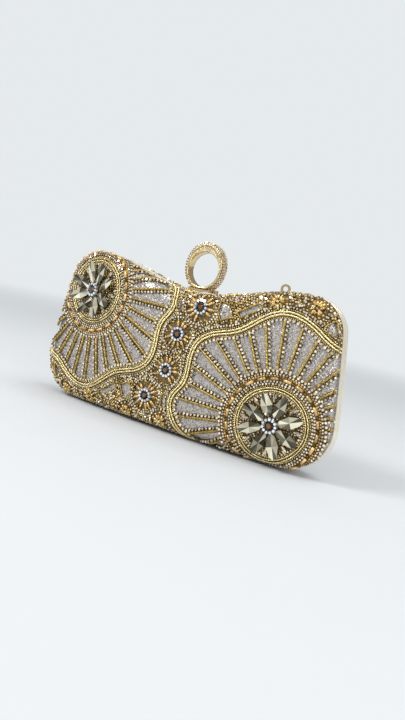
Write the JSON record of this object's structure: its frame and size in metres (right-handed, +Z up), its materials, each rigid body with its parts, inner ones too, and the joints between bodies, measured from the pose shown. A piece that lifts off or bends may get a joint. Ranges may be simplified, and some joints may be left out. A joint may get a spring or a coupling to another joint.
{
  "type": "evening clutch bag",
  "caption": "Hard box clutch with a wavy top edge, brass frame, beaded fan embroidery over silver glitter cloth, base hinges and a sprung finger-ring clasp.",
  "frame": {"origin": "on the ground plane, under the middle of the closed bag", "axes": "+X along the bag's length, to the right as seen from the front; -Y towards the embroidered front; +Z up, towards the ring clasp"},
  "size_m": [0.197, 0.0434, 0.1113],
  "materials": {
    "pale_gold": "polished pale gold plate",
    "hinge_steel": "plain drawn",
    "shell_board": "moulded",
    "glitter_cloth": "silver glitter cloth under bead embroidery",
    "lining_satin": "satin",
    "crystal": "cut stones in metal settings"
  },
  "bodies": {
    "rear": {"rear_frame": "pale_gold", "rear_shell": "shell_board", "rear_cover": "glitter_cloth", "rear_lining": "lining_satin", "rear_hinge_leaf_left": "hinge_steel", "rear_hinge_rivet_left": "hinge_steel", "rear_hinge_leaf_right": "hinge_steel", "rear_hinge_rivet_right": "hinge_steel", "rear_upper_medallion": "crystal", "rear_lower_medallion": "crystal", "rear_stone_flower_1": "crystal", "rear_stone_flower_2": "crystal", "rear_stone_flower_3": "crystal", "rear_stone_flower_4": "crystal", "hinge_pin_left": "hinge_steel", "clasp_ear_left": "pale_gold", "clasp_ear_rivet_left": "pale_gold", "hinge_pin_right": "hinge_steel", "clasp_ear_right": "pale_gold", "clasp_ear_rivet_right": "pale_gold", "chain_lug": "pale_gold", "clasp_pin": "hinge_steel", "clasp_spring": "hinge_steel"},
    "front": {"front_frame": "pale_gold", "front_shell": "shell_board", "front_cover": "glitter_cloth", "front_lining": "lining_satin", "front_hinge_leaf_left": "hinge_steel", "front_hinge_rivet_left": "hinge_steel", "front_hinge_leaf_right": "hinge_steel", "front_hinge_rivet_right": "hinge_steel", "front_upper_medallion": "crystal", "front_lower_medallion": "crystal", "front_stone_flower_1": "crystal", "front_stone_flower_2": "crystal", "front_stone_flower_3": "crystal", "front_stone_flower_4": "crystal", "catch_stud": "pale_gold"},
    "clasp": {"clasp_lever": "pale_gold", "clasp_ring": "pale_gold"}
  },
  "joints": [
    {"name": "front_open", "type": "hinge", "parent": "rear", "child": "front", "pos_m": [0, 0, 0.0012], "axis": [1, 0, 0], "range_deg": [0, 75]},
    {"name": "clasp_tilt", "type": "hinge", "parent": "rear", "child": "clasp", "pos_m": [0, 0.0041, 0.0845], "axis": [-1, 0, 0], "range_deg": [0, 30], "stiffness_Nm_per_rad": 0.05}
  ]
}
